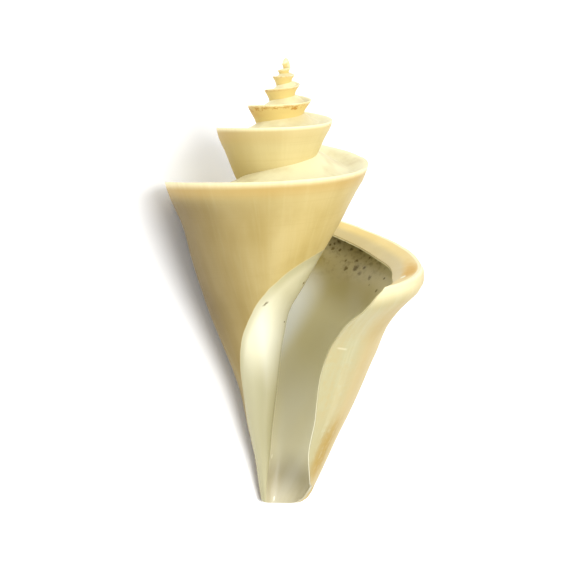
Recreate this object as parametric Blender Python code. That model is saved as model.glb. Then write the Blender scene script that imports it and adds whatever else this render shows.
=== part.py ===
"""Seashell with a flat spiral shoulder, one solid, resting on its back with the aperture up."""
import math

import bmesh
import bpy
import numpy as np
from mathutils import Matrix, Vector

NAME = "shell"
LENGTH = 90.0
STEPS = 40
FIRST_TURN = -7.0
LIP_TURN = 0.13
SINUS_TURN = -0.305
CANAL_TURN = -0.405
CAVITY_TURN = -1.88
FLAT_TURN = -0.345
FLAT_HALF = 0.025
THICK_TURNS = (-1.88, -0.55, -0.4, -0.1, 0.0, 0.13)
THICKNESS = (1.1, 1.1, 1.6, 1.6, 0.9, 0.7)
EDGE_THICK = 0.45

# The keel is the sharp edge of the shoulder. Radius and depth below the tip, in mm.
KEEL_TURNS = (-7.1, -6.5, -6, -5.5, -5, -4.5, -4, -3.5, -3, -2.5, -2, -1.5, -1.13, -1, -0.5, -0.25, 0, 0.2)
KEEL_RADII = (0.38, 0.75, 1.05, 1.55, 1.9, 2.55, 3.0, 4.0, 5.35,
              7.2, 9.65, 13.1, 15.7, 17.1, 23.2, 25.6, 28.5, 31.0)
KEEL_DEPTHS = (0.6, 1.2, 1.85, 2.5, 3.2, 3.7, 5.0, 6.4, 7.9,
               9.6, 11.6, 14.3, 18.2, 19.7, 25.5, 32.0, 39.4, 42.3)
# Outline of a growing wall, as distance below the keel and radius, both over the keel's radius.
WALL_DROP = (0, 0.1, 0.2, 0.35, 0.5, 0.667, 0.833, 1.086, 1.276, 1.41, 1.54, 1.63, 1.7, 1.78, 2.2)
WALL_RADIUS = (1, 0.975, 0.932, 0.85, 0.783, 0.707, 0.62, 0.483, 0.385, 0.316, 0.236, 0.172, 0.13, 0.09, 0)
# The last wall on the left side and on the right side, as depth and radius in mm.
LEFT_DEPTH = (25.5, 26.9, 29, 34.2, 40.7, 49.8, 59, 61.6, 67.2, 74, 83, 90)
LEFT_RADIUS = (23.2, 22.7, 21.8, 19.2, 17.2, 13.8, 9.55, 8.3, 5.85, 3.7, 1.25, 0.3)
RIGHT_DEPTH = (39.4, 40.4, 41.5, 43.4, 44.7, 46, 48.6, 51.2, 53.8, 56.4, 60, 64.8, 71.8, 79.5, 86.5, 90)
RIGHT_RADIUS = (28.5, 29.1, 29.3, 28.6, 27.5, 26.2, 24.2, 22.6, 21.6, 20.8, 19.5, 18.0, 15.6, 12.8, 10.0, 8.3)
PILLAR_DEPTH = (0, 4, 9, 20, 53, 59, 67.5, 77, 86, 90)
PILLAR_RADIUS = (0.1, 0.4, 1.1, 2.0, 1.8, 1.3, 1.15, 1.1, 0.62, 0.25)
BEND_DEPTH = (50, 60, 67, 77, 85, 90)
BEND_SHIFT = (0, -0.1, -0.35, -0.95, -1.0, -0.7)
BASE_TURNS = (-0.4, -0.3, -0.2, -0.1, -0.06, -0.03, 0, 0.03, 0.06, 0.09, 0.13)
BASE_DEPTH = (90, 90.25, 90.65, 90.9, 90.9, 90.8, 90.4, 89.4, 87.6, 85.9, 84.8)
CAVITY_TURNS = (-0.9, -0.75, -0.5, -0.405)
CAVITY_FOOT = (49, 58, 78, 90)
LIP_DEPTH = (41.5, 42, 43.5, 45.6, 48.5, 51.3, 54, 59, 65, 70, 76, 79, 83.3, 84.8)
LIP_TURNS = (0.13, 0.136, 0.148, 0.156, 0.166, 0.17, 0.175, 0.179, 0.173, 0.163, 0.152, 0.139, 0.105, 0.085)
FIRM_ANGLE = math.radians(2.3)
SHOULDER = (0.0, 0.4, 0.8)
FOOT = (0.1, 0.2, 0.3, 0.4, 0.52, 0.66, 0.82, 1.0)
KEEL_ROW = 5
SEAM_ROW = 9


def smooth(x, xs, ys):
    """Value at x of the curve that passes the points without overshooting."""
    xs = np.asarray(xs, float)
    ys = np.asarray(ys, float)
    h = np.diff(xs)
    m = np.diff(ys) / h
    d = np.zeros_like(ys)
    d[0] = m[0]
    d[-1] = m[-1]
    same = m[1:] * m[:-1] > 0
    w1 = 2 * h[1:] + h[:-1]
    w2 = h[1:] + 2 * h[:-1]
    inner = (w1 + w2) / (w1 / np.where(same, m[:-1], 1) + w2 / np.where(same, m[1:], 1))
    d[1:-1] = np.where(same, inner, 0)
    x = np.clip(np.asarray(x, float), xs[0], xs[-1])
    k = np.clip(np.searchsorted(xs, x, side="right") - 1, 0, len(h) - 1)
    t = (x - xs[k]) / h[k]
    a = (1 + 2 * t) * (1 - t) ** 2 * ys[k] + t * t * (3 - 2 * t) * ys[k + 1]
    return a + h[k] * (t * (1 - t) ** 2 * d[k] - t * t * (1 - t) * d[k + 1])


def keel_radius(turn):
    """Keel radius in mm, with the slightly flat stretch at the back on which the shell rests."""
    away = np.minimum(np.abs(turn - FLAT_TURN), FLAT_HALF)
    flat = math.cos(2 * math.pi * FLAT_HALF) / np.cos(2 * math.pi * away) - 0.005 * (1 - away / FLAT_HALF)
    return flat * np.exp(smooth(turn, KEEL_TURNS, np.log(KEEL_RADII)))


def keel_depth(turn):
    return np.exp(smooth(turn, KEEL_TURNS, np.log(KEEL_DEPTHS)))


def ease(x):
    x = np.clip(x, 0, 1)
    return x * x * (3 - 2 * x)


def hermite(u, y0, y1, g0, g1):
    rise = u * u * (3 - 2 * u)
    return y0 + (y1 - y0) * rise + u * (1 - u) ** 2 * g0 - u * u * (1 - u) * g1


def young_wall(turn, depth):
    """Wall radius over keel radius of a turn that a later one covers, waisted in the early turns."""
    drop = (depth - keel_depth(turn)) / keel_radius(turn)
    pillar = smooth(depth, PILLAR_DEPTH, PILLAR_RADIUS) / keel_radius(turn)
    waist = np.clip(drop / 0.9, 0, 1)
    slim = 0.35 * waist * (1 - waist) * ease((-2.1 - turn) / 0.5)
    return np.sqrt((smooth(drop, WALL_DROP, WALL_RADIUS) - slim) ** 2 + pillar ** 2)


def wall_radius(turn, depth):
    """Radius of the outside wall about the bent axis, in mm."""
    share = (depth - keel_depth(turn)) / (LENGTH - keel_depth(turn))

    def scaled(at):
        return keel_depth(at) + share * (LENGTH - keel_depth(at))

    a = np.sqrt(young_wall(-1.0, scaled(-1.0)))
    b = np.sqrt(smooth(scaled(-0.5), LEFT_DEPTH, LEFT_RADIUS) / keel_radius(-0.5))
    c = np.sqrt(smooth(scaled(0.0), RIGHT_DEPTH, RIGHT_RADIUS) / keel_radius(0.0))
    x = (turn + 1) / 0.5
    first = hermite(np.clip(x, 0, 1), a, b, 0.3 * (b - a), (c - a) / 2)
    second = hermite(np.clip(x - 1, 0, 1), b, c, (c - a) / 2, 0.6 * (c - b))
    last = np.where(x < 1, first, second)
    shape = np.where(turn < -1, young_wall(turn, depth), last ** 2)
    return shape * keel_radius(turn)


def seam_depth(turn):
    """Depth at which the wall of this turn meets the shoulder of the next one."""
    grown = np.minimum(turn, LIP_TURN - 1) + 1
    step = np.maximum(0.03 - 0.055 * (grown + 0.5), np.minimum(0.03 - 0.17 * (grown + 0.5), 0.09))
    seam = keel_depth(grown) - np.clip(step, 0.03, 0.2) * keel_radius(grown)
    edge = LIP_TURN - 1
    share = (seam - keel_depth(edge)) / (LENGTH - keel_depth(edge))
    late = keel_depth(turn) + share * (LENGTH - keel_depth(turn))
    return np.where(turn < edge, seam, late)


def cavity_foot(turn):
    """Depth at which the hollow of a turn runs out against the pillar."""
    young = keel_depth(turn) + 1.55 * keel_radius(turn)
    return np.where(turn < CAVITY_TURNS[0], young, smooth(turn, CAVITY_TURNS, CAVITY_FOOT))


def foot_depth(turn):
    """Depth of the lowest row of a wall."""
    covered = cavity_foot(turn + 1)
    base = smooth(turn, BASE_TURNS, BASE_DEPTH)
    return np.where(turn < CANAL_TURN - 1, covered, base)


def place(turn, radius, depth):
    angle = 2 * math.pi * turn
    x = radius * np.cos(angle) + smooth(depth, BEND_DEPTH, BEND_SHIFT)
    return np.stack([x, -radius * np.sin(angle), LENGTH - depth], -1)


def wall_depths(turn, foot):
    """Depths of the rows from the keel to the foot, one column for each turn."""
    keel = keel_depth(turn)
    seam = seam_depth(turn)
    rows = [keel, keel + 0.05 * keel_radius(turn)]
    rows += [keel + f * (seam - keel) for f in (0.38, 0.7, 1.0)]
    low = seam + 1.3
    rows += [low] + [low + f * (foot - low) for f in FOOT]
    return np.array(rows)


def shoulder_rows(turn, seam_radius, seam):
    """Radius and depth of the rows from the seam out to the row before the keel."""
    radius = keel_radius(turn)
    keel = keel_depth(turn)
    notch = ease((turn - SINUS_TURN + 0.13) / 0.13) - ease((turn - SINUS_TURN) / 0.14)
    wide = ease((turn + 0.2) / 0.05) - ease((turn + 0.07) / 0.06)
    edge = 0.72 - 0.6 * notch - 0.028 * wide + 0.27 * np.clip((turn - 0.025) / 0.1, 0, 1) ** 1.7
    gutter = 0.1 * radius * ease((turn + 5.5) / 2)
    rows = []
    for part in SHOULDER + (1.0, None):
        u = edge * part if part is not None else 0.45 * edge + 0.55
        inner = np.clip(u / 0.62, 0, 1)
        outer = np.clip((1 - u) / 0.38, 0, 1)
        flat = seam + (keel + gutter - seam) * (inner + 0.25 * inner * (1 - inner))
        rim = keel + gutter * outer ** 1.25
        dome = seam + (keel - seam) * u ** 2.2
        young = ease((-4.6 - turn) / 0.8)
        depth = np.where(u < 0.62, flat, rim) * (1 - young) + dome * young
        rows.append((seam_radius + u * (radius - seam_radius), depth))
    return rows


def grid():
    """Outside and inside points by step and row, in mm about the axis of the shell."""
    count = int(round((LIP_TURN - FIRST_TURN) * STEPS)) + 1
    turn = LIP_TURN - np.arange(count - 1, -1, -1) / STEPS
    depths = wall_depths(turn, foot_depth(turn))
    late = ease((turn + 0.5) / (LIP_TURN + 0.5))
    rows = len(depths) + KEEL_ROW
    outside = np.zeros((count, rows, 3))
    for k, depth in enumerate(depths):
        reach = smooth(depth[-1], LIP_DEPTH, LIP_TURNS) - LIP_TURN
        t = turn + late * reach
        r = wall_radius(t, depth) if k else keel_radius(turn)
        outside[:, KEEL_ROW + k] = place(t, r, depth)
    seam_r = np.where(turn - 1 < FIRST_TURN, 0.0, wall_radius(turn - 1, seam_depth(turn - 1)))
    seam_d = np.where(turn - 1 < FIRST_TURN, 0.0, seam_depth(turn - 1))
    for k, (r, d) in enumerate(shoulder_rows(turn, seam_r, seam_d)):
        outside[:, k] = place(turn, r, d)
    inside = inside_rows(turn, outside, late)
    return turn, outside, inside


def inside_rows(turn, outside, late):
    """The surface of the hollow, the thickness of the wall inside the outside surface."""
    thick = smooth(turn, THICK_TURNS, THICKNESS)
    inside = outside.copy()
    keel = keel_radius(turn)
    core = 1.64 * thick
    radius = np.hypot(outside[..., 0], outside[..., 1])
    for row in range(1, KEEL_ROW):
        limit = keel - core - 0.35 * (KEEL_ROW - row)
        scale = np.minimum(1, limit / np.maximum(radius[:, row], 1e-6))
        inside[:, row, :2] *= scale[:, None]
        inside[:, row, 2] -= 1.15 * thick
    inside[:, KEEL_ROW] = place(turn, keel - core, keel_depth(turn) + 1.25 * thick)
    foot = np.where(turn < CANAL_TURN, cavity_foot(turn), foot_depth(turn))
    depths = wall_depths(turn, foot)
    depths[1] += 1.3 * thick
    for k in range(1, len(depths)):
        depth = depths[k]
        reach = smooth(depth[-1], LIP_DEPTH, LIP_TURNS) - LIP_TURN
        t = turn + late * reach
        outer = wall_radius(t, depth)
        pillar = wall_radius(t - 1, depth)
        r = outer - np.minimum(1.12 * thick, 0.5 * np.maximum(outer - pillar, 0))
        inside[:, KEEL_ROW + k] = place(t, r, depth)
    return thin_margin(turn, outside, inside)


def thin_margin(turn, outside, inside):
    """Draws the inside close to the outside along the lip and along the notch in the shoulder."""
    radial = outside * np.array((1.0, 1.0, 0.0))
    radial /= np.maximum(np.linalg.norm(radial, axis=-1, keepdims=True), 1e-6)
    row = np.arange(outside.shape[1])
    lean = ease((row - KEEL_ROW + 2) / 4)[None, :, None]
    close = outside - EDGE_THICK * (lean * radial + (1 - lean) * np.array((0.0, 0.0, 1.0)))
    lip = ease((turn - LIP_TURN + 0.07) / 0.07)[:, None]
    behind = ease((turn - SINUS_TURN) / 0.05)[:, None]
    gap = 1 - ease((row - KEEL_ROW + 2) / 2)[None, :]
    corner = ease(turn / 0.07)[:, None] * (1 - ease((row - KEEL_ROW) / 3))[None, :]
    near = np.maximum(np.maximum(lip, corner), behind * gap)[..., None]
    return inside * (1 - near) + close * near


class Sheet:
    """Numbers the points once and collects the faces."""

    def __init__(self):
        self.points = []
        self.faces = []
        self.index = {}

    def point(self, key, xyz):
        if key not in self.index:
            self.index[key] = len(self.points)
            self.points.append(tuple(xyz))
        return self.index[key]

    def face(self, *corners):
        ring = []
        for c in corners:
            if c not in ring:
                ring.append(c)
        if len(ring) > 2:
            self.faces.append(ring)


def weave(turn, outside, inside):
    """Joins the rows into one closed surface and returns points and faces."""
    sheet = Sheet()
    last = len(turn) - 1
    foot = outside.shape[1] - 1
    deep = last - int(round((LIP_TURN - CAVITY_TURN) * STEPS))
    notch = last - int(round((LIP_TURN - SINUS_TURN) * STEPS))
    canal = last - int(round((LIP_TURN - CANAL_TURN) * STEPS))
    edge = KEEL_ROW - 2

    def out(i, j):
        if j == 0 and i < STEPS:
            return sheet.point("tip", (0, 0, LENGTH))
        if j == 0:
            return out(i - STEPS, SEAM_ROW)
        return sheet.point(("o", i, j), outside[i, j])

    def ins(i, j):
        if j == 0:
            return out(i - STEPS, SEAM_ROW + 1)
        if j == foot and i <= canal:
            return out(i - STEPS, foot)
        return sheet.point(("i", i, j), inside[i, j])

    for i in range(last):
        for j in range(foot):
            covered = j >= SEAM_ROW and i < deep - STEPS
            joined = j == SEAM_ROW and i < notch - STEPS
            cut = j < edge and i >= notch
            if not (covered or joined or cut):
                sheet.face(out(i, j), out(i, j + 1), out(i + 1, j + 1), out(i + 1, j))
            if i >= deep and not cut:
                sheet.face(ins(i, j), ins(i + 1, j), ins(i + 1, j + 1), ins(i, j + 1))
    for j in range(edge):
        sheet.face(out(notch, j), out(notch, j + 1), ins(notch, j + 1), ins(notch, j))
    for i in range(notch, last):
        sheet.face(out(i, edge), out(i + 1, edge), ins(i + 1, edge), ins(i, edge))
    for j in range(edge, foot):
        sheet.face(out(last, j), out(last, j + 1), ins(last, j + 1), ins(last, j))
    for i in range(canal, last):
        sheet.face(out(i, foot), ins(i, foot), ins(i + 1, foot), out(i + 1, foot))
    begin = [out(0, j) for j in range(SEAM_ROW + 1)]
    close(sheet, begin, "begin")
    back = [ins(deep, j) for j in range(foot + 1)]
    back += [out(deep - STEPS, j) for j in range(foot - 1, SEAM_ROW + 1, -1)]
    close(sheet, back, "back")
    stem = [out(i, foot) for i in range(canal - STEPS, canal + 1)]
    close(sheet, stem, "stem")
    return sheet.points, sheet.faces


def close(sheet, ring, key):
    """Fills a ring with a fan about its middle."""
    middle = np.mean([sheet.points[k] for k in ring], axis=0)
    centre = sheet.point(key, middle)
    for a, b in zip(ring, ring[1:] + ring[:1]):
        sheet.face(centre, a, b)


def turn_outward(bm):
    bmesh.ops.recalc_face_normals(bm, faces=bm.faces)
    if bm.calc_volume(signed=True) < 0:
        bmesh.ops.reverse_faces(bm, faces=bm.faces)


def middle_of_mass(bm):
    total = 0.0
    centre = Vector((0, 0, 0))
    for face in bm.faces:
        a, b, c = [v.co for v in face.verts]
        part = a.dot(b.cross(c)) / 6
        total += part
        centre += part * (a + b + c) / 4
    return centre / total


def back_face(bm):
    """Outward normal of the hull face that the shell rests on firmly with its aperture up."""
    centre = middle_of_mass(bm)
    hull = bmesh.new()
    for vert in bm.verts:
        hull.verts.new(vert.co)
    bmesh.ops.convex_hull(hull, input=hull.verts)
    bmesh.ops.recalc_face_normals(hull, faces=hull.faces)
    best = None
    for face in hull.faces:
        n = face.normal
        height = (face.verts[0].co - centre).dot(n)
        foot = centre + n * height
        points = [v.co for v in face.verts]
        margin = min((b - a).normalized().cross(foot - a).dot(n)
                     for a, b in zip(points, points[1:] + points[:1]))
        if margin > height * math.tan(FIRM_ANGLE) and (best is None or n.y > best.y):
            best = n.copy()
    hull.free()
    return best


def lay_down(bm):
    """Turns the shell onto its back with the tip towards +Y, on the floor and centred, in metres."""
    down = back_face(bm)
    turned = down.rotation_difference(Vector((0, 0, -1)))
    axis = turned @ Vector((0, 0, 1))
    spin = Matrix.Rotation(math.pi / 2 - math.atan2(axis.y, axis.x), 3, "Z")
    bmesh.ops.transform(bm, matrix=(spin @ turned.to_matrix()).to_4x4(), verts=bm.verts)
    bmesh.ops.scale(bm, vec=(0.001, 0.001, 0.001), verts=bm.verts)
    spots = np.array([v.co[:] for v in bm.verts])
    low, high = spots.min(0), spots.max(0)
    shift = (-(low[0] + high[0]) / 2, -(low[1] + high[1]) / 2, -low[2])
    bmesh.ops.translate(bm, vec=shift, verts=bm.verts)


def build():
    turn, outside, inside = grid()
    points, faces = weave(turn, outside, inside)
    bm = bmesh.new()
    verts = [bm.verts.new(p) for p in points]
    for face in faces:
        bm.faces.new([verts[k] for k in face])
    bmesh.ops.triangulate(bm, faces=bm.faces)
    turn_outward(bm)
    return bm


def finish_material():
    material = bpy.data.materials.new("shell_surface")
    material.use_nodes = True
    surface = material.node_tree.nodes["Principled BSDF"]
    surface.inputs["Base Color"].default_value = (0.68, 0.55, 0.34, 1)
    surface.inputs["Roughness"].default_value = 0.35
    return material


def main():
    for item in list(bpy.data.objects):
        bpy.data.objects.remove(item)
    group = bpy.data.collections.new("wonder_shell")
    bpy.context.scene.collection.children.link(group)
    bm = build()
    lay_down(bm)
    mesh = bpy.data.meshes.new(NAME)
    bm.to_mesh(mesh)
    bm.free()
    mesh.materials.append(finish_material())
    group.objects.link(bpy.data.objects.new(NAME, mesh))


main()
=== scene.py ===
# %% [markdown]
# # A wonder shell
# This seashell is a single sheet of shell that a snail laid down round and round a slim pillar. Each
# turn has a flat shoulder with a sharp, raised edge, the keel, and a wall that runs down from it.
# The last turn opens on the side that looks up at us and narrows to an open canal.
# The file first loads the plain model, which fixes the size and the place. It then grows a finer
# shell on the same spiral, adds relief with Geometry Nodes, colours it with a node material, and
# sets up floor, lights and camera.

import math

import bmesh
import bpy
import numpy as np
from mathutils import Matrix, Vector


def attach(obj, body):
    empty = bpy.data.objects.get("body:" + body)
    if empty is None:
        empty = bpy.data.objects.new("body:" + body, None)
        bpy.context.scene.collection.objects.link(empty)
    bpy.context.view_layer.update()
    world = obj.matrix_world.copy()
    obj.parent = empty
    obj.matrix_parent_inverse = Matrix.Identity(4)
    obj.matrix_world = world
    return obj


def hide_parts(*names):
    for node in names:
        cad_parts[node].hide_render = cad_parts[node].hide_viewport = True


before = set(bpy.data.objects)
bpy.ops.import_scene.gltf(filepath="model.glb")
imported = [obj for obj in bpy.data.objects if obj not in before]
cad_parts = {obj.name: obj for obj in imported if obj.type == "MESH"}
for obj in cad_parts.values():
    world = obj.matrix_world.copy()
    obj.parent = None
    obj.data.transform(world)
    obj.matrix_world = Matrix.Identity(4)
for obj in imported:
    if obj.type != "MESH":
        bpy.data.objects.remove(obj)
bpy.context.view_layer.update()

# %% [markdown]
# ## The growth rule
# A snail keeps the same shape while it grows, so a few numbers along the turns say it all: how far
# the keel is from the axis, and how far it lies below the tip. A smooth curve through the numbers
# gives every place between. Turns count up to the lip, and turn 0 is on the right of the shell. We
# could draw the spiral by hand with a curve and sweep a profile along it, but the profile changes
# from a closed ring to an open gutter, so a rule is easier to steer.

# %% Sizes in millimetres
LENGTH = 90.0
LIP_TURN = 0.13
SINUS_TURN = -0.305
CANAL_TURN = -0.405
CAVITY_TURN = -1.88
FLAT_TURN = -0.345
FLAT_HALF = 0.025
FIRST_TURN = -7.0
THICK_TURNS = (-1.88, -0.55, -0.4, -0.1, 0.0, 0.13)
THICKNESS = (1.1, 1.1, 1.6, 1.6, 0.9, 0.7)
EDGE_THICK = 0.45

# The keel is the sharp edge of the shoulder: its radius and its depth below the tip.
KEEL_TURNS = (-7.1, -6.5, -6, -5.5, -5, -4.5, -4, -3.5, -3, -2.5, -2, -1.5, -1.13, -1, -0.5, -0.25, 0, 0.2)
KEEL_RADII = (0.38, 0.75, 1.05, 1.55, 1.9, 2.55, 3.0, 4.0, 5.35,
              7.2, 9.65, 13.1, 15.7, 17.1, 23.2, 25.6, 28.5, 31.0)
KEEL_DEPTHS = (0.6, 1.2, 1.85, 2.5, 3.2, 3.7, 5.0, 6.4, 7.9,
               9.6, 11.6, 14.3, 18.2, 19.7, 25.5, 32.0, 39.4, 42.3)
# Outline of a growing wall: distance below the keel and radius, both over the keel's radius.
WALL_DROP = (0, 0.1, 0.2, 0.35, 0.5, 0.667, 0.833, 1.086, 1.276, 1.41, 1.54, 1.63, 1.7, 1.78, 2.2)
WALL_RADIUS = (1, 0.975, 0.932, 0.85, 0.783, 0.707, 0.62, 0.483, 0.385, 0.316, 0.236, 0.172, 0.13, 0.09, 0)
# The last wall on the left side and on the right side: depth and radius.
LEFT_DEPTH = (25.5, 26.9, 29, 34.2, 40.7, 49.8, 59, 61.6, 67.2, 74, 83, 90)
LEFT_RADIUS = (23.2, 22.7, 21.8, 19.2, 17.2, 13.8, 9.55, 8.3, 5.85, 3.7, 1.25, 0.3)
RIGHT_DEPTH = (39.4, 40.4, 41.5, 43.4, 44.7, 46, 48.6, 51.2, 53.8, 56.4, 60, 64.8, 71.8, 79.5, 86.5, 90)
RIGHT_RADIUS = (28.5, 29.1, 29.3, 28.6, 27.5, 26.2, 24.2, 22.6, 21.6, 20.8, 19.5, 18.0, 15.6, 12.8, 10.0, 8.3)
# The pillar, the bend of the axis, the foot of the wall and of the hollow, and the line of the lip.
PILLAR_DEPTH = (0, 4, 9, 20, 53, 59, 67.5, 77, 86, 90)
PILLAR_RADIUS = (0.1, 0.4, 1.1, 2.0, 1.8, 1.3, 1.15, 1.1, 0.62, 0.25)
BEND_DEPTH = (50, 60, 67, 77, 85, 90)
BEND_SHIFT = (0, -0.1, -0.35, -0.95, -1.0, -0.7)
BASE_TURNS = (-0.4, -0.3, -0.2, -0.1, -0.06, -0.03, 0, 0.03, 0.06, 0.09, 0.13)
BASE_DEPTH = (90, 90.25, 90.65, 90.9, 90.9, 90.8, 90.4, 89.4, 87.6, 85.9, 84.8)
CAVITY_TURNS = (-0.9, -0.75, -0.5, -0.405)
CAVITY_FOOT = (49, 58, 78, 90)
LIP_DEPTH = (41.5, 42, 43.5, 45.6, 48.5, 51.3, 54, 59, 65, 70, 76, 79, 83.3, 84.8)
LIP_TURNS = (0.13, 0.136, 0.148, 0.156, 0.166, 0.17, 0.175, 0.179, 0.173, 0.163, 0.152, 0.139, 0.105, 0.085)


# %% A smooth curve through points, and the keel
def smooth(x, xs, ys):
    """Value at x of the curve that passes the points without overshooting."""
    xs = np.asarray(xs, float)
    ys = np.asarray(ys, float)
    h = np.diff(xs)
    m = np.diff(ys) / h
    d = np.zeros_like(ys)
    d[0] = m[0]
    d[-1] = m[-1]
    same = m[1:] * m[:-1] > 0
    w1 = 2 * h[1:] + h[:-1]
    w2 = h[1:] + 2 * h[:-1]
    inner = (w1 + w2) / (w1 / np.where(same, m[:-1], 1) + w2 / np.where(same, m[1:], 1))
    d[1:-1] = np.where(same, inner, 0)
    x = np.clip(np.asarray(x, float), xs[0], xs[-1])
    k = np.clip(np.searchsorted(xs, x, side="right") - 1, 0, len(h) - 1)
    t = (x - xs[k]) / h[k]
    a = (1 + 2 * t) * (1 - t) ** 2 * ys[k] + t * t * (3 - 2 * t) * ys[k + 1]
    return a + h[k] * (t * (1 - t) ** 2 * d[k] - t * t * (1 - t) * d[k + 1])


def ease(x):
    x = np.clip(x, 0, 1)
    return x * x * (3 - 2 * x)


def keel_radius(turn):
    """Keel radius in mm, with the slightly flat stretch at the back on which the shell rests."""
    away = np.minimum(np.abs(turn - FLAT_TURN), FLAT_HALF)
    flat = math.cos(2 * math.pi * FLAT_HALF) / np.cos(2 * math.pi * away) - 0.005 * (1 - away / FLAT_HALF)
    return flat * np.exp(smooth(turn, KEEL_TURNS, np.log(KEEL_RADII)))


def keel_depth(turn):
    return np.exp(smooth(turn, KEEL_TURNS, np.log(KEEL_DEPTHS)))


print("keel radius at the lip:", round(float(keel_radius(LIP_TURN)), 1), "mm")

# %% [markdown]
# ## The wall under the keel
# Below the keel the wall leans in towards the pillar. On the early turns one outline serves, scaled
# to the keel. On the last turn the wall changes from a cone to a gutter, so it is blended between
# the outline on the left of the shell and the one on its right. Blending square roots of the radii
# keeps the narrow canal narrow.


# %% Radius of the wall at any turn and depth
def hermite(u, y0, y1, g0, g1):
    rise = u * u * (3 - 2 * u)
    return y0 + (y1 - y0) * rise + u * (1 - u) ** 2 * g0 - u * u * (1 - u) * g1


def young_wall(turn, depth):
    drop = (depth - keel_depth(turn)) / keel_radius(turn)
    pillar = smooth(depth, PILLAR_DEPTH, PILLAR_RADIUS) / keel_radius(turn)
    waist = np.clip(drop / 0.9, 0, 1)
    slim = 0.35 * waist * (1 - waist) * ease((-2.1 - turn) / 0.5)
    return np.sqrt((smooth(drop, WALL_DROP, WALL_RADIUS) - slim) ** 2 + pillar ** 2)


def wall_radius(turn, depth):
    share = (depth - keel_depth(turn)) / (LENGTH - keel_depth(turn))

    def scaled(at):
        return keel_depth(at) + share * (LENGTH - keel_depth(at))

    a = np.sqrt(young_wall(-1.0, scaled(-1.0)))
    b = np.sqrt(smooth(scaled(-0.5), LEFT_DEPTH, LEFT_RADIUS) / keel_radius(-0.5))
    c = np.sqrt(smooth(scaled(0.0), RIGHT_DEPTH, RIGHT_RADIUS) / keel_radius(0.0))
    x = (turn + 1) / 0.5
    first = hermite(np.clip(x, 0, 1), a, b, 0.3 * (b - a), (c - a) / 2)
    second = hermite(np.clip(x - 1, 0, 1), b, c, (c - a) / 2, 0.6 * (c - b))
    last = np.where(x < 1, first, second)
    shape = np.where(turn < -1, young_wall(turn, depth), last ** 2)
    return shape * keel_radius(turn)


def seam_depth(turn):
    grown = np.minimum(turn, LIP_TURN - 1) + 1
    step = np.maximum(0.03 - 0.055 * (grown + 0.5), np.minimum(0.03 - 0.17 * (grown + 0.5), 0.09))
    seam = keel_depth(grown) - np.clip(step, 0.03, 0.2) * keel_radius(grown)
    edge = LIP_TURN - 1
    share = (seam - keel_depth(edge)) / (LENGTH - keel_depth(edge))
    late = keel_depth(turn) + share * (LENGTH - keel_depth(turn))
    return np.where(turn < edge, seam, late)


def cavity_foot(turn):
    young = keel_depth(turn) + 1.55 * keel_radius(turn)
    return np.where(turn < CAVITY_TURNS[0], young, smooth(turn, CAVITY_TURNS, CAVITY_FOOT))


def foot_depth(turn):
    base = smooth(turn, BASE_TURNS, BASE_DEPTH)
    return np.where(turn < CANAL_TURN - 1, cavity_foot(turn + 1), base)


def place(turn, radius, depth):
    angle = 2 * math.pi * turn
    x = radius * np.cos(angle) + smooth(depth, BEND_DEPTH, BEND_SHIFT)
    return np.stack([x, -radius * np.sin(angle), LENGTH - depth], -1)


# %% [markdown]
# ## Rows across the sheet
# The sheet is a grid. One direction is growth, in 144 steps to a turn. The other runs across, from
# the seam out over the shoulder, over the keel, down the wall and to the foot. The plain model has
# fewer rows and 40 steps to a turn. The finer grid makes the keel and the lip look round and thin.

# %% How fine the grid is
STEPS = 144
CREASE = 0.62
BAND_HEIGHT = 0.05
BELOW_SEAM = 1.3
SHOULDER = tuple(np.linspace(0, 1, 9))
RIM = tuple(np.linspace(0, 1, 7)[1:-1])
BAND = (1 / 3, 2 / 3, 1.0)
UPPER = tuple(np.linspace(0, 1, 9)[1:])
FOOT = tuple(np.linspace(0, 1, 27)[1:])
EDGE_ROW = len(SHOULDER) - 1
KEEL_ROW = EDGE_ROW + len(RIM) + 1
SEAM_ROW = KEEL_ROW + len(BAND) + len(UPPER)
print("rows to the keel, the seam and the foot:", KEEL_ROW, SEAM_ROW, SEAM_ROW + 1 + len(FOOT))


# %% Depths and radii of the rows
def wall_depths(turn, foot):
    keel = keel_depth(turn)
    seam = seam_depth(turn)
    band = BAND_HEIGHT * keel_radius(turn)
    rows = [keel] + [keel + f * band for f in BAND]
    rows += [keel + band + f * (seam - keel - band) for f in UPPER]
    low = seam + BELOW_SEAM
    return np.array(rows + [low] + [low + f * (foot - low) for f in FOOT])


def shoulder_rows(turn, seam_radius, seam):
    radius = keel_radius(turn)
    keel = keel_depth(turn)
    notch = ease((turn - SINUS_TURN + 0.13) / 0.13) - ease((turn - SINUS_TURN) / 0.14)
    wide = ease((turn + 0.2) / 0.05) - ease((turn + 0.07) / 0.06)
    edge = 0.72 - 0.6 * notch - 0.028 * wide + 0.27 * np.clip((turn - 0.025) / 0.1, 0, 1) ** 1.7
    gutter = 0.1 * radius * ease((turn + 5.5) / 2)
    young = ease((-4.6 - turn) / 0.8)
    rows = []
    for u in [edge * part for part in SHOULDER] + [edge + (1 - edge) * part for part in RIM]:
        inner = np.clip(u / CREASE, 0, 1)
        outer = np.clip((1 - u) / (1 - CREASE), 0, 1)
        flat = seam + (keel + gutter - seam) * (inner + 0.25 * inner * (1 - inner))
        rim = keel + gutter * outer ** 1.25
        dome = seam + (keel - seam) * u ** 2.2
        depth = np.where(u < CREASE, flat, rim) * (1 - young) + dome * young
        rows.append((seam_radius + u * (radius - seam_radius), depth))
    return rows


def lip_reach(depth, late):
    return late * (smooth(depth[-1], LIP_DEPTH, LIP_TURNS) - LIP_TURN)


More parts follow.
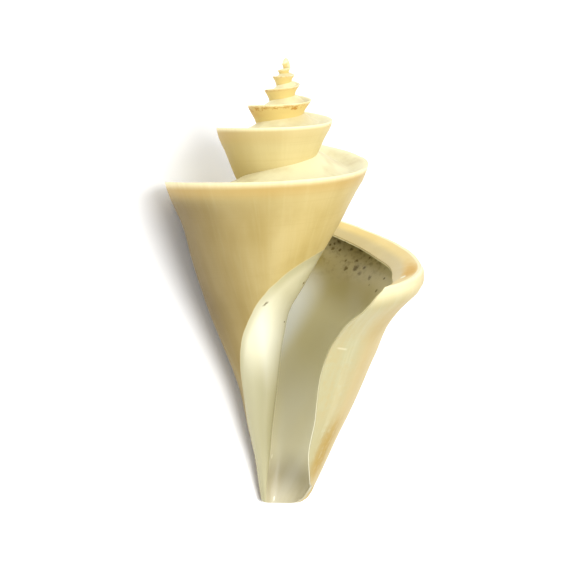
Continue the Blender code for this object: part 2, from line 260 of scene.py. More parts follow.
def measures(turn, angle, points):
    """For each point its growth, its true turn, its depth, and its distance below the keel."""
    depth = LENGTH - points[..., 2]
    radius = np.hypot(points[..., 0] - smooth(depth, BEND_DEPTH, BEND_SHIFT), points[..., 1])
    below = depth - keel_depth(turn)[:, None]
    inward = radius - keel_radius(turn)[:, None]
    below[:, :KEEL_ROW] = inward[:, :KEEL_ROW]
    grown = np.broadcast_to(turn[:, None], depth.shape)
    return np.stack([grown, angle, depth, below], -1)


# %% [markdown]
# ## Outside and inside
# The inside surface is the outside one moved in by the thickness of the shell: about a millimetre,
# and a little less at the lip. Moving along true normals would fold at the sharp keel, so each row is
# moved in by its own rule.


# %% Points of the outside
def outside_points(turn):
    depths = wall_depths(turn, foot_depth(turn))
    late = ease((turn + 0.5) / (LIP_TURN + 0.5))
    points = np.zeros((len(turn), len(depths) + KEEL_ROW, 3))
    angle = np.tile(turn[:, None], points.shape[1])
    for k, depth in enumerate(depths):
        t = turn + (lip_reach(depth, late) if k > 0 else 0)
        angle[:, KEEL_ROW + k] = t
        points[:, KEEL_ROW + k] = place(t, wall_radius(t, depth) if k else keel_radius(turn), depth)
    first = turn - 1 < FIRST_TURN
    seam_r = np.where(first, 0.0, wall_radius(turn - 1, seam_depth(turn - 1)))
    seam_d = np.where(first, 0.0, seam_depth(turn - 1))
    for k, (r, d) in enumerate(shoulder_rows(turn, seam_r, seam_d)):
        points[:, k] = place(turn, r, d)
    return points, measures(turn, angle, points)


# %% Points of the inside, with each way in over the thickness of the shell
KEEL_IN = 1.64
KEEL_DOWN = 1.25
SHOULDER_DOWN = 1.15
BAND_DOWN = 1.3
WALL_IN = 1.12


def inside_points(turn, outside):
    late = ease((turn + 0.5) / (LIP_TURN + 0.5))
    thick = smooth(turn, THICK_TURNS, THICKNESS)
    core = KEEL_IN * thick
    keel = keel_radius(turn)
    points = outside.copy()
    angle = np.tile(turn[:, None], points.shape[1])
    radius = np.hypot(outside[..., 0], outside[..., 1])
    for row in range(1, KEEL_ROW):
        limit = keel - core - 1.75 * (1 - row / KEEL_ROW)
        points[:, row, :2] *= np.minimum(1, limit / np.maximum(radius[:, row], 1e-6))[:, None]
        points[:, row, 2] -= SHOULDER_DOWN * thick
    points[:, KEEL_ROW] = place(turn, keel - core, keel_depth(turn) + KEEL_DOWN * thick)
    foot = np.where(turn < CANAL_TURN, cavity_foot(turn), foot_depth(turn))
    depths = wall_depths(turn, foot)
    for k in range(1, len(BAND) + 1):
        depths[k] += BAND_DOWN * thick
    for k in range(1, len(depths)):
        t = turn + lip_reach(depths[k], late)
        angle[:, KEEL_ROW + k] = t
        outer = wall_radius(t, depths[k])
        gap = np.maximum(outer - wall_radius(t - 1, depths[k]), 0)
        points[:, KEEL_ROW + k] = place(t, outer - np.minimum(WALL_IN * thick, 0.5 * gap), depths[k])
    points = thin_margin(turn, outside, points)
    return points, measures(turn, angle, points)


def thin_margin(turn, outside, inside):
    """Inside points drawn close to the outside along the lip and the notch in the shoulder."""
    radial = outside * np.array((1.0, 1.0, 0.0))
    radial /= np.maximum(np.linalg.norm(radial, axis=-1, keepdims=True), 1e-6)
    row = np.arange(outside.shape[1])
    lean = ease((row - EDGE_ROW) / (KEEL_ROW + 5 - EDGE_ROW))[None, :, None]
    near_edge = outside - EDGE_THICK * (lean * radial + (1 - lean) * np.array((0.0, 0.0, 1.0)))
    lip = ease((turn - LIP_TURN + 0.07) / 0.07)[:, None]
    behind = ease((turn - SINUS_TURN) / 0.05)[:, None]
    gap = 1 - ease((row - EDGE_ROW) / (KEEL_ROW - EDGE_ROW))[None, :]
    corner = ease(turn / 0.07)[:, None] * (1 - ease((row - KEEL_ROW) / 8))[None, :]
    near = np.maximum(np.maximum(lip, corner), behind * gap)[..., None]
    return inside * (1 - near) + near_edge * near


# %% Both surfaces
count = int(round((LIP_TURN - FIRST_TURN) * STEPS)) + 1
turn = LIP_TURN - np.arange(count - 1, -1, -1) / STEPS
outside, outside_facts = outside_points(turn)
inside, inside_facts = inside_points(turn, outside)
print("grid:", outside.shape[0], "steps by", outside.shape[1], "rows")

# %% [markdown]
# ## Weaving the sheet
# Each turn starts on the wall of the turn before it, so the two share the points of the seam. The
# lip, the notch in the shoulder and the foot of the canal get narrow strips that join outside to
# inside. The result is one closed surface. Every corner of every face also remembers where it is on
# the sheet: its turn, its distance below the keel, and whether it is inside. The colours need that.


# %% Points, faces and corner values
class Sheet:
    def __init__(self):
        self.points, self.faces, self.values, self.index = [], [], [], {}

    def point(self, key, xyz):
        if key not in self.index:
            self.index[key] = len(self.points)
            self.points.append(tuple(xyz))
        return self.index[key]

    def face(self, *corners):
        ring, seen = [], set()
        for number, value in corners:
            if number not in seen:
                seen.add(number)
                ring.append((number, value))
        if len(ring) > 2:
            self.faces.append([number for number, value in ring])
            self.values.extend(value for number, value in ring)


sheet = Sheet()
last = count - 1
foot = outside.shape[1] - 1
deep = last - int(round((LIP_TURN - CAVITY_TURN) * STEPS))
notch = last - int(round((LIP_TURN - SINUS_TURN) * STEPS))
canal = last - int(round((LIP_TURN - CANAL_TURN) * STEPS))


# %% Corners by step and row
def out(i, j):
    value = (*outside_facts[i, j], 0.0)
    if j == 0 and i < STEPS:
        return sheet.point("tip", (0, 0, LENGTH)), value
    if j == 0:
        return out(i - STEPS, SEAM_ROW)[0], value
    return sheet.point(("o", i, j), outside[i, j]), value


def ins(i, j):
    value = (*inside_facts[i, j], 1.0)
    if j == 0:
        return out(i - STEPS, SEAM_ROW + 1)[0], value
    if j == foot and i <= canal:
        return out(i - STEPS, foot)[0], value
    return sheet.point(("i", i, j), inside[i, j]), value


def close(ring, key):
    middle = np.mean([sheet.points[k] for k, value in ring], axis=0)
    centre = (sheet.point(key, middle), ring[0][1])
    for a, b in zip(ring, ring[1:] + ring[:1]):
        sheet.face(centre, a, b)


# %% Faces of the sheet, its edges and its ends
for i in range(last):
    for j in range(foot):
        covered = j >= SEAM_ROW and i < deep - STEPS
        joined = j == SEAM_ROW and i < notch - STEPS
        cut = j < EDGE_ROW and i >= notch
        if not (covered or joined or cut):
            sheet.face(out(i, j), out(i, j + 1), out(i + 1, j + 1), out(i + 1, j))
        if i >= deep and not cut:
            sheet.face(ins(i, j), ins(i + 1, j), ins(i + 1, j + 1), ins(i, j + 1))
for j in range(EDGE_ROW):
    sheet.face(out(notch, j), out(notch, j + 1), ins(notch, j + 1), ins(notch, j))
for i in range(notch, last):
    sheet.face(out(i, EDGE_ROW), out(i + 1, EDGE_ROW), ins(i + 1, EDGE_ROW), ins(i, EDGE_ROW))
for j in range(EDGE_ROW, foot):
    sheet.face(out(last, j), out(last, j + 1), ins(last, j + 1), ins(last, j))
for i in range(canal, last):
    sheet.face(out(i, foot), ins(i, foot), ins(i + 1, foot), out(i + 1, foot))
close([out(0, j) for j in range(SEAM_ROW + 1)], "begin")
back = [ins(deep, j) for j in range(foot + 1)]
back += [out(deep - STEPS, j) for j in range(foot - 1, SEAM_ROW + 1, -1)]
close(back, "back")
close([out(i, foot) for i in range(canal - STEPS, canal + 1)], "stem")
print("points:", len(sheet.points), "faces:", len(sheet.faces))

# %% [markdown]
# ## Lying down
# The plain model lies on its back, leaning a little to the left, with its tip towards +Y. Its own
# three angles and one shift, in degrees and metres, bring the fine sheet to the same place.

# %% Rest pose and mesh
REST_EULER = (-64.4704, -38.7579, -16.6466)
REST_SHIFT = (-0.0028008, -0.0417093, 0.0025049)
rest = Matrix.Translation(REST_SHIFT) @ (
    Matrix.Rotation(math.radians(REST_EULER[2]), 4, "Z")
    @ Matrix.Rotation(math.radians(REST_EULER[1]), 4, "Y")
    @ Matrix.Rotation(math.radians(REST_EULER[0]), 4, "X")
)
spots = np.array(sheet.points) * 0.001
spots = spots @ np.array(rest.to_3x3()).T + np.array(REST_SHIFT)
mesh = bpy.data.meshes.new("wonder_shell")
mesh.from_pydata([tuple(p) for p in spots], [], sheet.faces)
mesh.update()
for column, name in enumerate(("grown", "angle", "depth", "below", "inner")):
    layer = mesh.attributes.new(name, "FLOAT", "CORNER")
    layer.data.foreach_set("value", np.array(sheet.values, np.float32)[:, column])
shell = bpy.data.objects.new("wonder_shell", mesh)
bpy.context.scene.collection.objects.link(shell)
mesh.shade_smooth()
mesh.set_sharp_from_angle(angle=math.radians(50))
print("fine shell:", [round(1000 * s, 1) for s in shell.dimensions], "mm")

# %% Is the sheet closed, and does it face out?
bm = bmesh.new()
bm.from_mesh(mesh)
volume = bm.calc_volume(signed=True)
open_edges = sum(1 for edge in bm.edges if len(edge.link_faces) != 2)
print("volume:", round(volume * 1e6, 2), "ml, open edges:", open_edges)
if volume < 0:
    bmesh.ops.reverse_faces(bm, faces=bm.faces)
bm.to_mesh(mesh)
bm.free()

# %% [markdown]
# ## Node arithmetic
# The colours of a shell depend on where and when a spot was laid down, so they are sums over the
# values that the corners remember. Dragging hundreds of Math nodes by hand would be slow, so this
# small class lets us write the sums in Python, and each operator puts one node in the tree.


# %% Sums that become nodes
class Value:
    def __init__(self, finish, socket):
        self.finish = finish
        self.socket = socket

    def math(self, operation, first, second=None):
        node = self.finish.tree.nodes.new("ShaderNodeMath")
        node.operation = operation
        for socket, item in zip(node.inputs, (first, second)):
            if item is not None:
                self.finish.plug(item, socket)
        return Value(self.finish, node.outputs[0])

    def __add__(self, other):
        return self.math("ADD", self, other)

    def __radd__(self, other):
        return self.math("ADD", other, self)

    def __sub__(self, other):
        return self.math("SUBTRACT", self, other)

    def __rsub__(self, other):
        return self.math("SUBTRACT", other, self)

    def __mul__(self, other):
        return self.math("MULTIPLY", self, other)

    def __rmul__(self, other):
        return self.math("MULTIPLY", other, self)

    def __truediv__(self, other):
        return self.math("DIVIDE", self, other)

    def __rtruediv__(self, other):
        return self.math("DIVIDE", other, self)

    def __pow__(self, other):
        return self.math("POWER", self, other)

    def __neg__(self):
        return self.math("MULTIPLY", self, -1.0)

    def size(self):
        return self.math("ABSOLUTE", self)

    def root(self):
        return self.math("SQRT", self)

    def power_of_e(self):
        return self.math("EXPONENT", self)

    def least(self, other):
        return self.math("MINIMUM", self, other)

    def most(self, other):
        return self.math("MAXIMUM", self, other)

    def rise(self, low, high):
        """0 below low, 1 above high, and a soft step between."""
        settings = {"interpolation_type": "SMOOTHSTEP"}
        inputs = {"Value": self, "From Min": low, "From Max": high}
        return Value(self.finish, self.finish.node("ShaderNodeMapRange", settings, inputs).outputs[0])

    def fall(self, low, high):
        return 1.0 - self.rise(low, high)

    def within(self, low, high, soft):
        return self.rise(low - soft, low + soft) * self.fall(high - soft, high + soft)


class Graph:
    def __init__(self, tree):
        self.tree = tree

    def plug(self, source, socket):
        if isinstance(source, Value):
            self.tree.links.new(source.socket, socket)
        elif isinstance(source, tuple) and len(socket.default_value) == 4:
            socket.default_value = (*source, 1.0)
        else:
            socket.default_value = source

    def node(self, kind, settings, inputs):
        node = self.tree.nodes.new(kind)
        for name, setting in settings.items():
            setattr(node, name, setting)
        for name, item in inputs.items():
            self.plug(item, node.inputs[name])
        return node

    def point(self, x, y, z):
        return Value(self, self.node("ShaderNodeCombineXYZ", {}, {"X": x, "Y": y, "Z": z}).outputs[0])

    def noise(self, point, scale, detail=2.0, rough=0.5):
        inputs = {"Vector": point, "Scale": scale, "Detail": detail, "Roughness": rough}
        return Value(self, self.node("ShaderNodeTexNoise", {}, inputs).outputs[0])

    def mix(self, share, below, above):
        node = self.node("ShaderNodeMix", {"data_type": "RGBA", "blend_type": "MIX"}, {})
        for number, item in ((0, share), (6, below), (7, above)):
            self.plug(item, node.inputs[number])
        return Value(self, node.outputs[2])


class Finish(Graph):
    def __init__(self, name):
        self.material = bpy.data.materials.new(name)
        self.material.use_nodes = True
        super().__init__(self.material.node_tree)
        self.surface = self.tree.nodes["Principled BSDF"]

    def stored(self, name):
        return Value(self, self.node("ShaderNodeAttribute", {"attribute_name": name}, {}).outputs["Fac"])


class Relief(Graph):
    def stored(self, name):
        node = self.node("GeometryNodeInputNamedAttribute", {"data_type": "FLOAT"}, {"Name": name})
        return Value(self, node.outputs["Attribute"])


def paint(red, green, blue):
    """A colour as a picture gives it, 0 to 255, turned into the light that nodes work with."""
    return tuple((c / 255 / 12.92) if c < 11 else ((c / 255 + 0.055) / 1.055) ** 2.4
                 for c in (red, green, blue))


# %% [markdown]
# ## Where each spot of the surface is
# The finish reads the five values that the corners remember. Growth is counted in turns, depth and
# distance below the keel in millimetres. Two noises along the growth lines give the streaks that
# run down the wall, because a snail changes its colours a little from day to day.

# %% Values and streaks
finish = Finish("shell_surface")
grown = finish.stored("grown")
angle = finish.stored("angle")
depth = finish.stored("depth")
below = finish.stored("below")
inner = finish.stored("inner")
coordinates = finish.node("ShaderNodeTexCoord", {}, {})
place_on = Value(finish, coordinates.outputs["Object"])

streak_wide = finish.noise(finish.point(grown * 13.0, below * 0.05, 0.0), 1.0, 2.0, 0.4)
streak_fine = finish.noise(finish.point(grown * 110.0, below * 0.08, 3.0), 1.0, 3.0, 0.6)
thread = finish.noise(finish.point(below * 2.6, grown * 1.5, 7.0), 1.0, 2.0)
cloud = finish.noise(place_on, 140.0, 4.0)
grain = finish.noise(place_on, 900.0, 3.0, 0.6)


def oval(across, wide, down, high):
    """0 in the middle of an oval and 1 on its edge, from the distances across and down."""
    return ((across / wide) ** 2.0 + (down / high) ** 2.0).root()


# %% [markdown]
# ## The tan outside
# The wall is a warm tan with faint streaks and spiral threads. Right under the keel it is a little
# darker and more orange, and the keel itself is a pale, beaded rim. The young turns are warmer and
# carry orange-brown stains under their keels. The left sides of the last two turns carry painted
# shade.

# %% Pigments of the outside
TAN = paint(192, 172, 114)
TAN_DEEP_AND_SHADE = paint(164, 140, 72)
TAN_PAINTED_SHADE = paint(92, 70, 16)
TAN_PALE = paint(206, 192, 140)
UNDER_KEEL = paint(184, 150, 82)
KEEL_CREAM_AND_HIGHLIGHT = paint(250, 238, 192)
SPIRE = paint(208, 184, 114)
SHOULDER_CREAM = paint(230, 222, 178)
STAIN = paint(168, 112, 24)

# %% Wall
wall = finish.mix(streak_wide.rise(0.3, 0.75) * 0.6, TAN, TAN_DEEP_AND_SHADE)
wall = finish.mix(cloud.rise(0.42, 0.7) * 0.25, wall, TAN_DEEP_AND_SHADE)
wall = finish.mix(grown.fall(-1.3, -0.95) * 0.7, wall, TAN_PALE)
wall = finish.mix(streak_fine.rise(0.45, 0.85) * 0.25, wall, TAN_PALE)
wall = finish.mix(thread.rise(0.5, 0.75) * 0.12, wall, TAN_DEEP_AND_SHADE)
# Painted shade: the left side of the last turn, which turns away from the light, is darkened.
left_painted_shade = grown.rise(-0.82, -0.5) * grown.fall(-0.4, 0.0) * below.rise(-0.5, 6.0)
left_painted_shade = left_painted_shade * (1.0 - 0.3 * depth.rise(48.0, 64.0))
wall = finish.mix(left_painted_shade * (0.75 + 0.2 * streak_wide), wall, TAN_PAINTED_SHADE)
# Painted shade: the left side of the turn before the last is darker.
wall = finish.mix(grown.within(-1.62, -1.3, 0.16) * 0.8, wall, TAN_DEEP_AND_SHADE)
# Painted shade: darker just under the keel on the left side of the last turn.
wall = finish.mix(grown.within(-0.56, -0.4, 0.12) * below.fall(3.0, 9.0) * 0.4, wall, TAN_PAINTED_SHADE)
wall = finish.mix(grown.fall(-2.3, -1.8), wall, SPIRE)

# %% Keel and shoulder
GROWTH = 0.62
KEEL_MM = 26.0
size_here = (grown * GROWTH).power_of_e() * KEEL_MM
band = below.rise(0.2, 0.9) * below.fall(1.6, 4.2) * grown.rise(-2.2, -1.2)
wall = finish.mix(band * (0.35 + 0.4 * streak_wide), wall, UNDER_KEEL)
shoulder = finish.mix(cloud.rise(0.4, 0.65) * 0.5, SHOULDER_CREAM, TAN)
skin = finish.mix(below.rise(-0.3, 0.05), shoulder, wall)
rim_width = 0.14 + size_here * 0.036
bead = 0.55 + 0.4 * streak_fine
skin = finish.mix((below.size() / rim_width).fall(0.0, 2.2) * bead, skin, KEEL_CREAM_AND_HIGHLIGHT)

# %% Stains on the young turns
smear = finish.noise(finish.point(grown * 24.0, below * 1.1, 9.0), 1.0, 4.0, 0.7)
drip = below - 0.9 * smear.rise(0.4, 0.7)
young = grown.within(-2.95, -2.2, 0.1) * drip.within(0.0, 0.5, 0.3)
skin = finish.mix(young * smear.rise(0.34, 0.6) * 0.9, skin, STAIN)
flush = grown.within(-2.62, -2.35, 0.1) * below.within(0.5, 2.4, 0.6)
skin = finish.mix(flush * cloud.rise(0.35, 0.65) * 0.45, skin, STAIN)
older = grown.fall(-3.1, -2.8) * (below / size_here).within(0.03, 0.2, 0.06)
skin = finish.mix(older * (0.25 + 0.45 * smear.rise(0.45, 0.65)), skin, STAIN)
fleck = grown.within(-2.06, -1.92, 0.03) * below.within(0.3, 1.0, 0.2)
skin = finish.mix(fleck * smear.rise(0.45, 0.6) * 0.6, skin, STAIN)

# %% [markdown]
# ## Strip behind the notch and outer lip
# The strip that is left of the shoulder behind the notch is pale inside and yellow towards the keel,
# with an orange patch near the corner and painted shade towards the body wall. The last eighth of a
# turn is cream, with peach and orange stains that follow its growth lines, a painted highlight under
# the keel and painted shade along its upper right edge.

# %% Strip behind the notch
STRIP_PALE = paint(194, 175, 120)
STRIP_YELLOW = paint(220, 194, 118)
CORNER_ORANGE = paint(208, 160, 16)
CHIP_AND_GLINT_WHITE = paint(240, 234, 205)

late = grown.rise(-0.36, -0.28)
strip = finish.mix((below + 1.2 * (cloud - 0.5)).rise(-4.2, -2.0), STRIP_PALE, STRIP_YELLOW)
strip = finish.mix(cloud.rise(0.45, 0.7) * 0.1, strip, KEEL_CREAM_AND_HIGHLIGHT)
# Painted shade: the strip is darker at its end by the body wall, whose shade falls on it, and lighter towards
# the corner.
strip = finish.mix(angle.rise(-0.14, 0.02) * 0.2, strip, KEEL_CREAM_AND_HIGHLIGHT)
patch = oval(angle - 0.035, 0.05, below + 2.0, 2.0) + 1.1 * (cloud - 0.5)
strip = finish.mix(patch.fall(0.3, 1.25), strip, CORNER_ORANGE)
on_strip = late * below.fall(-0.9, -0.5)
skin = finish.mix(on_strip, skin, strip)
chip = oval(angle - 0.059, 0.008, below + 2.8, 0.55)
skin = finish.mix(chip.fall(0.6, 1.1) * late, skin, CHIP_AND_GLINT_WHITE)

# %% Outer lip
LIP_CREAM = paint(172, 167, 128)
LIP_PEACH = paint(180, 156, 100)
LIP_ORANGE = paint(158, 126, 34)

lip_streak = finish.noise(finish.point(angle * 70.0, depth * 0.04, 5.0), 1.0, 4.0, 0.6)
lip = finish.mix(lip_streak.rise(0.42, 0.7) * 0.25, LIP_CREAM, LIP_PEACH)
turned = (angle - 0.05 * depth.fall(44.0, 62.0)).fall(0.0, 0.08)
lip = finish.mix(turned * 0.85, lip, TAN)
lip = finish.mix(lip_streak.fall(0.3, 0.52) * 0.08, lip, KEEL_CREAM_AND_HIGHLIGHT)
lip = finish.mix(depth.within(44.0, 51.0, 3.0) * lip_streak.rise(0.3, 0.6) * 0.3, lip, TAN_DEEP_AND_SHADE)
worn = (cloud + 0.6 * (grain - 0.5)).rise(0.42, 0.62) * depth.within(50.0, 70.0, 4.0)
lip = finish.mix(worn * 0.3, lip, LIP_PEACH)
# Painted highlight: the lip is lighter just under the keel towards the corner.
lip = finish.mix(below.fall(0.3, 4.5) * angle.rise(0.02, 0.1) * 0.6, lip, KEEL_CREAM_AND_HIGHLIGHT)
# The peach along the upper right edge of the lip is partly its own tone and partly painted shade; the deeper
# tan laid over it is painted shade.
lip = finish.mix(angle.fall(0.095, 0.135) * depth.rise(44.0, 50.0) * 0.8, lip, LIP_PEACH)
lip_painted_shade = angle.fall(0.095, 0.13) * depth.within(45.0, 53.0, 2.5)
lip = finish.mix(lip_painted_shade * 0.85, lip, TAN_DEEP_AND_SHADE)
stain = angle.within(0.076, 0.13, 0.025) * (depth + 5.0 * (cloud - 0.5)).within(71.0, 82.0, 3.0)
lip = finish.mix(stain * (lip_streak + 0.5 * (grain - 0.5)).rise(0.2, 0.55), lip, LIP_ORANGE)

# %% Marks on the lip
OLIVE_DARK_AND_SHADE = paint(156, 139, 70)
LIP_MM_PER_TURN = 150.0

crease = (depth - 47.8 - (angle - 0.15) * 125.0).size() + 0.5 * (grain - 0.5)
crease = crease.fall(0.1, 0.4) * angle.within(0.149, 0.166, 0.006) * streak_fine.rise(0.4, 0.6)
lip = finish.mix(crease * 0.7, lip, OLIVE_DARK_AND_SHADE)
crack = (depth - 54.1 + 30.0 * (angle - 0.155)).size().fall(0.08, 0.3)
lip = finish.mix(crack * angle.within(0.148, 0.164, 0.003) * 0.25, lip, CHIP_AND_GLINT_WHITE)
speck = oval((angle - 0.087) * LIP_MM_PER_TURN, 1.0, depth - 77.0, 1.0)
lip = finish.mix(speck.fall(0.2, 0.6), lip, OLIVE_DARK_AND_SHADE)
on_lip = grown.rise(-0.02, 0.05) * below.rise(0.3, 1.2)
skin = finish.mix(on_lip * 0.9, skin, lip)

# %% [markdown]
# ## Callus, hollow and spots
# Where the snail's body rubbed the wall it laid a smooth pale glaze, the callus, with a clear edge
# that swings round the turn. The hollow is olive grey with pearly streaks and carries painted shade
# under the shoulder, where a group of small brown spots lies. The glaze and the hollow also carry
# painted highlights.

# %% Callus
CALLUS = paint(198, 192, 158)
CALLUS_OLIVE = paint(172, 165, 126)
CALLUS_PAINTED_HIGHLIGHT = paint(226, 221, 188)
PEARL_AND_HIGHLIGHT = paint(246, 247, 236)

across = (angle + 0.92).most(0.0) / 0.41
edge_depth = 37.2 + 31.0 * across ** 1.9 + 0.9 * (cloud - 0.5)
past_edge = depth - edge_depth
covered = past_edge.rise(-0.12, 0.12) * grown.within(-1.4, -0.405, 0.01)
glaze = finish.mix(past_edge.fall(0.4, 3.0) * 0.6, CALLUS, CALLUS_OLIVE)
glaze = finish.mix(cloud.rise(0.4, 0.7) * 0.3, glaze, CALLUS_OLIVE)
glaze = finish.mix(depth.rise(54.0, 76.0) * 0.9, glaze, CALLUS_OLIVE)
# Painted highlight: a pale oval down the middle of the glaze.
callus_highlight_angle = (depth - 57.7) * 0.004 - 0.665
callus_highlight = oval(angle - callus_highlight_angle, 0.08, depth - 54.0, 11.5)
glaze = finish.mix(callus_highlight.fall(0.0, 1.4), glaze, CALLUS_PAINTED_HIGHLIGHT)
# Painted light: the glaze next to the pillar is lightened where it turns away from the lamp.
glaze = finish.mix(angle.fall(-0.7, -0.65) * depth.within(51.0, 61.0, 8.0) * 0.42, glaze, PEARL_AND_HIGHLIGHT)
glaze = finish.mix(depth.rise(57.0, 66.0) * angle.rise(-0.73, -0.66) * 0.7, glaze, CALLUS_OLIVE)
glaze = finish.mix(past_edge.fall(0.4, 3.2) * 0.55, glaze, CALLUS_OLIVE)
glaze = finish.mix(past_edge.size().fall(0.08, 0.3) * 0.5, glaze, TAN_PALE)
skin = finish.mix(covered, skin, glaze)

# %% Flecks on the callus
SPOT = paint(84, 66, 4)
CALLUS_MM_PER_TURN = 45.0
FLECKS = ((-0.828, 52.1, 0.2), (-0.879, 43.9, 0.24))

for fleck_angle, fleck_depth, size in FLECKS:
    away = oval((angle - fleck_angle) * CALLUS_MM_PER_TURN, size, depth - fleck_depth, size)
    skin = finish.mix((away + 3.0 * (grain - 0.5)).fall(0.6, 1.4) * covered, skin, SPOT)
dash = ((angle + 0.7135) * 65.0 - (depth - 47.8)).size() + 0.8 * (grain - 0.5)
skin = finish.mix(dash.fall(0.1, 0.4) * depth.within(47.4, 48.2, 0.3) * covered * 0.75, skin, SPOT)

# %% Hollow
HOLLOW = paint(226, 217, 170)
HOLLOW_DEEP = paint(238, 232, 200)
HOLLOW_END = paint(178, 168, 134)

# Painted shade: the hollow is darker olive under the shoulder.
hollow = finish.mix(below.rise(-2.0, 6.0) * below.fall(9.0, 20.0), HOLLOW, OLIVE_DARK_AND_SHADE)
hollow = finish.mix(depth.rise(62.0, 72.0) * 0.7, hollow, HOLLOW_DEEP)
hollow = finish.mix(depth.rise(79.0, 86.0), hollow, HOLLOW_END)
hollow = finish.mix(streak_wide.rise(0.42, 0.7) * 0.15, hollow, PEARL_AND_HIGHLIGHT)
# Painted highlight: a pale oval on the hollow beside the pillar.
hollow_highlight_angle = -0.24 - (depth - 55.0) * 0.0045
hollow_highlight = oval(angle - hollow_highlight_angle, 0.055, depth - 56.0, 11.0)
# Painted light: near the notch the painted shade is taken off again, to lighten the shade that falls there.
hollow = finish.mix(angle.rise(-0.16, -0.05) * below.fall(6.0, 16.0) * 0.8, hollow, HOLLOW)
hollow = finish.mix(hollow_highlight.fall(0.4, 1.3), hollow, PEARL_AND_HIGHLIGHT)

# %% Spots in the hollow
HOLLOW_MM_PER_TURN = 150.0
BASE_MM_PER_TURN = 120.0
SPOTS = (
    (-0.163, 38.7, 0.55), (-0.168, 40.1, 0.42), (-0.164, 38.0, 0.32), (-0.154, 38.5, 0.4),
    (-0.168, 39.2, 0.28), (-0.157, 40.4, 0.28), (-0.173, 39.5, 0.3), (-0.127, 39.9, 0.5),
    (-0.137, 43.7, 0.5), (-0.12, 43.4, 0.62), (-0.111, 44.3, 0.5), (-0.089, 44.9, 0.42),
    (-0.082, 46.2, 0.25), (-0.061, 46.9, 0.3), (-0.108, 43.2, 0.35), (-0.126, 42.1, 0.38),
    (-0.142, 40.0, 0.3), (-0.109, 41.2, 0.25), (-0.063, 44.5, 0.25), (-0.142, 42.3, 0.3),
)

blot = finish.noise(place_on, 900.0, 3.0, 0.7)
nearest = None
for spot_angle, spot_depth, size in SPOTS:
    away = oval((angle - spot_angle) * HOLLOW_MM_PER_TURN, size, depth - spot_depth, size)
    nearest = away if nearest is None else nearest.least(away)
spotted = (nearest * 1.15 + 4.8 * (blot - 0.5)).fall(0.2, 1.6)
freckle = blot.rise(0.45, 0.68) * angle.within(-0.18, -0.07, 0.03) * depth.fall(41.0, 48.0)
hollow = finish.mix(freckle * 0.4, hollow, SPOT)
hollow = finish.mix(spotted * 0.8, hollow, SPOT)
# Painted glints: two small white highlights near the foot of the hollow.
GLINTS = ((-0.202, 81.6), (-0.147, 90.0))
for glint_angle, glint_depth in GLINTS:
    away = oval((angle - glint_angle) * BASE_MM_PER_TURN, 1.0, depth - glint_depth, 1.0)
    hollow = finish.mix(away.fall(0.3, 0.6), hollow, CHIP_AND_GLINT_WHITE)
skin = finish.mix(inner.rise(0.45, 0.55), skin, hollow)

# %% [markdown]
# ## Gloss and fine relief
# The glaze and the hollow shine more than the outside. The growth lines and threads are too fine
# for the mesh, so they go into a bump.

# %% Sockets of the finish
shiny = covered.most(inner.rise(0.45, 0.55))
finish.plug(skin, finish.surface.inputs["Base Color"])
finish.plug(0.46 - 0.22 * shiny + 0.12 * (grain - 0.5), finish.surface.inputs["Roughness"])
lines = streak_fine * 0.7 + thread * 0.3
bump = finish.node("ShaderNodeBump", {}, {"Strength": 0.35, "Distance": 0.0001,
                                          "Height": lines * (1.0 - 0.8 * shiny) + grain * 0.15})
finish.tree.links.new(bump.outputs[0], finish.surface.inputs["Normal"])
finish.plug(0.35 * covered, finish.surface.inputs["Coat Weight"])
finish.plug(0.25, finish.surface.inputs["Coat Roughness"])
finish.plug(0.3, finish.surface.inputs["Specular IOR Level"])
print("nodes in the finish:", len(finish.tree.nodes))

# %% [markdown]
# ## Growth relief
# Each pause in growth leaves a low ridge, and the keel is never quite even. Geometry Nodes moves the
# outside inwards by a noise that runs along the growth steps, so the shell keeps its full size. The
# relief shrinks with the turns, like everything else on a shell.

# %% Node group for the relief
group = bpy.data.node_groups.new("growth_relief", "GeometryNodeTree")
group.interface.new_socket("Geometry", in_out="INPUT", socket_type="NodeSocketGeometry")
ridge_socket = group.interface.new_socket("Ridge depth", in_out="INPUT", socket_type="NodeSocketFloat")
keel_socket = group.interface.new_socket("Keel wear", in_out="INPUT", socket_type="NodeSocketFloat")
group.interface.new_socket("Geometry", in_out="OUTPUT", socket_type="NodeSocketGeometry")
relief = Relief(group)
start = group.nodes.new("NodeGroupInput")
steps = relief.stored("grown")
drop = relief.stored("below")
ridges = relief.noise(relief.point(steps * 42.0, drop * 0.06, 1.0), 1.0, 3.0)
waves = relief.noise(relief.point(steps * 13.0, 0.0, 4.0), 1.0, 4.0, 0.6)
near_keel = (drop.size() * 0.9).fall(0.0, 1.6)
amount = ridges.rise(0.4, 0.7) * Value(relief, start.outputs["Ridge depth"])
amount = amount + near_keel * waves.rise(0.35, 0.7) * Value(relief, start.outputs["Keel wear"])
amount = amount * (steps * GROWTH).power_of_e() * (1.0 - relief.stored("inner"))
normal = Value(relief, relief.node("GeometryNodeInputNormal", {}, {}).outputs["Normal"])
inward = relief.node("ShaderNodeVectorMath", {"operation": "SCALE"}, {"Vector": normal, "Scale": -amount})
moved = relief.node("GeometryNodeSetPosition", {}, {"Geometry": Value(relief, start.outputs["Geometry"]),
                                                    "Offset": Value(relief, inward.outputs[0])})
real = relief.node("GeometryNodeRealizeInstances", {}, {"Geometry": Value(relief, moved.outputs[0])})
painted = relief.node("GeometryNodeSetMaterial", {}, {"Geometry": Value(relief, real.outputs[0]),
                                                      "Material": finish.material})
group.links.new(painted.outputs[0], group.nodes.new("NodeGroupOutput").inputs[0])

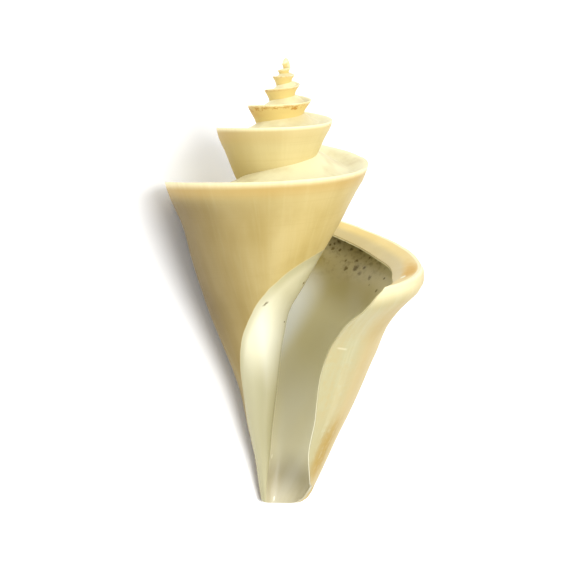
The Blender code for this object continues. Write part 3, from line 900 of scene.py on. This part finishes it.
# %% Relief on the shell
RIDGE_DEPTH = 0.00006
KEEL_WEAR = 0.00022
modifier = shell.modifiers.new("growth_relief", "NODES")
modifier.node_group = group
modifier[ridge_socket.identifier] = RIDGE_DEPTH
modifier[keel_socket.identifier] = KEEL_WEAR
graph = bpy.context.evaluated_depsgraph_get()
carved = shell.evaluated_get(graph)
mesh = bpy.data.meshes.new_from_object(carved, preserve_all_data_layers=True, depsgraph=graph)
shell.modifiers.clear()
before = np.array([v.co[:] for v in shell.data.vertices])
after = np.array([v.co[:] for v in mesh.vertices])
print("deepest relief:", round(1000 * float(np.linalg.norm(after - before, axis=1).max()), 3), "mm")
shell.data = mesh

# %% The shell joins the model
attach(shell, "root")
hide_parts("shell")

# %% [markdown]
# ## Floor, light and camera
# A pale floor and one broad lamp overhead give a soft shadow under the side that nearly touches
# the floor. The camera looks down into the aperture with a long lens.

# %% Floor and lights
SIDE = 3.0
PAPER = (0.95, 0.95, 0.95, 1)
SKY = (0.95, 0.97, 1.0, 1)
floor_mesh = bpy.data.meshes.new("floor")
corners = [(-SIDE, -SIDE, 0), (SIDE, -SIDE, 0), (SIDE, SIDE, 0), (-SIDE, SIDE, 0)]
floor_mesh.from_pydata(corners, [], [(0, 1, 2, 3)])
floor = bpy.data.objects.new("floor", floor_mesh)
bpy.context.scene.collection.objects.link(floor)
paper = bpy.data.materials.new("white_paper")
paper.use_nodes = True
matte = paper.node_tree.nodes["Principled BSDF"]
matte.inputs["Base Color"].default_value = PAPER
matte.inputs["Roughness"].default_value = 0.9
floor_mesh.materials.append(paper)

world = bpy.data.worlds.new("studio")
bpy.context.scene.world = world
world.use_nodes = True
world.node_tree.nodes["Background"].inputs["Color"].default_value = SKY
world.node_tree.nodes["Background"].inputs["Strength"].default_value = 1.0


def softbox(name, place_at, aim, size, power):
    lamp = bpy.data.lights.new(name, "AREA")
    lamp.shape = "DISK"
    lamp.size = size
    lamp.energy = power
    item = bpy.data.objects.new(name, lamp)
    item.location = place_at
    item.rotation_euler = (Vector(aim) - Vector(place_at)).to_track_quat("-Z", "Y").to_euler()
    bpy.context.scene.collection.objects.link(item)


softbox("overhead", place_at=(-0.12, -0.12, 0.8), aim=(0, 0, 0.02), size=0.6, power=6.0)

# %% Camera
LOOK_UP = math.radians(8.86)
ROLL = math.radians(-2.35)
DISTANCE = 0.4
PIXELS_PER_M = 4989.4
PICTURE = 570
SENSOR = 36
SHIFT_M = (-0.00165, 0.00029)
toward = Vector((0, -math.cos(LOOK_UP), math.sin(LOOK_UP)))
side = Vector((1, 0, 0))
above = toward.cross(side)
right = side * math.cos(ROLL) - above * math.sin(ROLL)
up = side * math.sin(ROLL) + above * math.cos(ROLL)
target = Vector((0, 0, LENGTH / 2000)) - right * SHIFT_M[0] - up * SHIFT_M[1]
pose = Matrix((right, up, toward)).transposed().to_4x4()
pose.translation = target + toward * DISTANCE
lens = bpy.data.cameras.new("camera")
lens.sensor_width = SENSOR
lens.lens = SENSOR * DISTANCE * PIXELS_PER_M / PICTURE
lens.clip_start = 0.01
camera = bpy.data.objects.new("camera", lens)
camera.matrix_world = rest @ pose
bpy.context.scene.collection.objects.link(camera)
bpy.context.scene.camera = camera
bpy.context.scene.view_settings.view_transform = "Standard"
print("lens:", round(lens.lens, 1), "mm, elevation:",
      round(math.degrees(math.asin((rest.to_3x3() @ toward).z)), 1))
